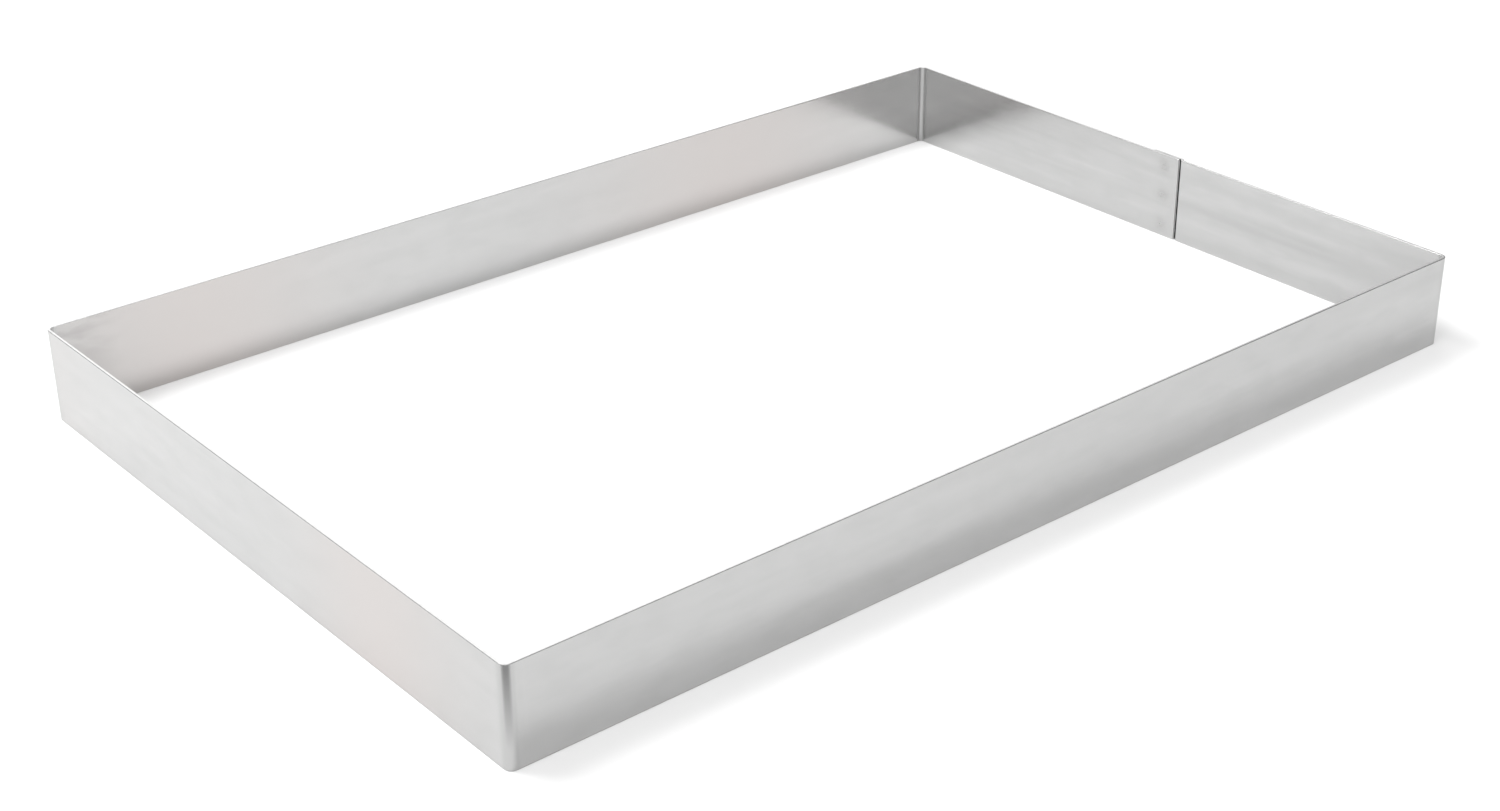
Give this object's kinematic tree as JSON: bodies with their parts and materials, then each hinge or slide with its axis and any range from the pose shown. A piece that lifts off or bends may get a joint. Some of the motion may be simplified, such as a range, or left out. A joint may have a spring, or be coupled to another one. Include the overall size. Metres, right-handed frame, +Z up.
{
  "type": "baking frame",
  "caption": "Open rectangular baking frame bent from one steel strip, with rounded corners and a spot-welded lap joint in a short wall; stands on a baking sheet to hold batter.",
  "frame": {"origin": "middle of the floor area that the frame covers, lap joint included, on the plane that it stands on", "axes": "+X along the long walls towards the short wall with the lap joint, +Y along the short walls, +Z up"},
  "size_m": [0.6018, 0.4, 0.05],
  "materials": {
    "strip_steel": "satin mill finish with fine grain along the strip",
    "weld_steel": "fused weld metal, dull"
  },
  "bodies": {
    "root": {"frame_strip": "strip_steel", "spot_weld_upper": "weld_steel", "spot_weld_middle": "weld_steel", "spot_weld_lower": "weld_steel"}
  },
  "joints": []
}
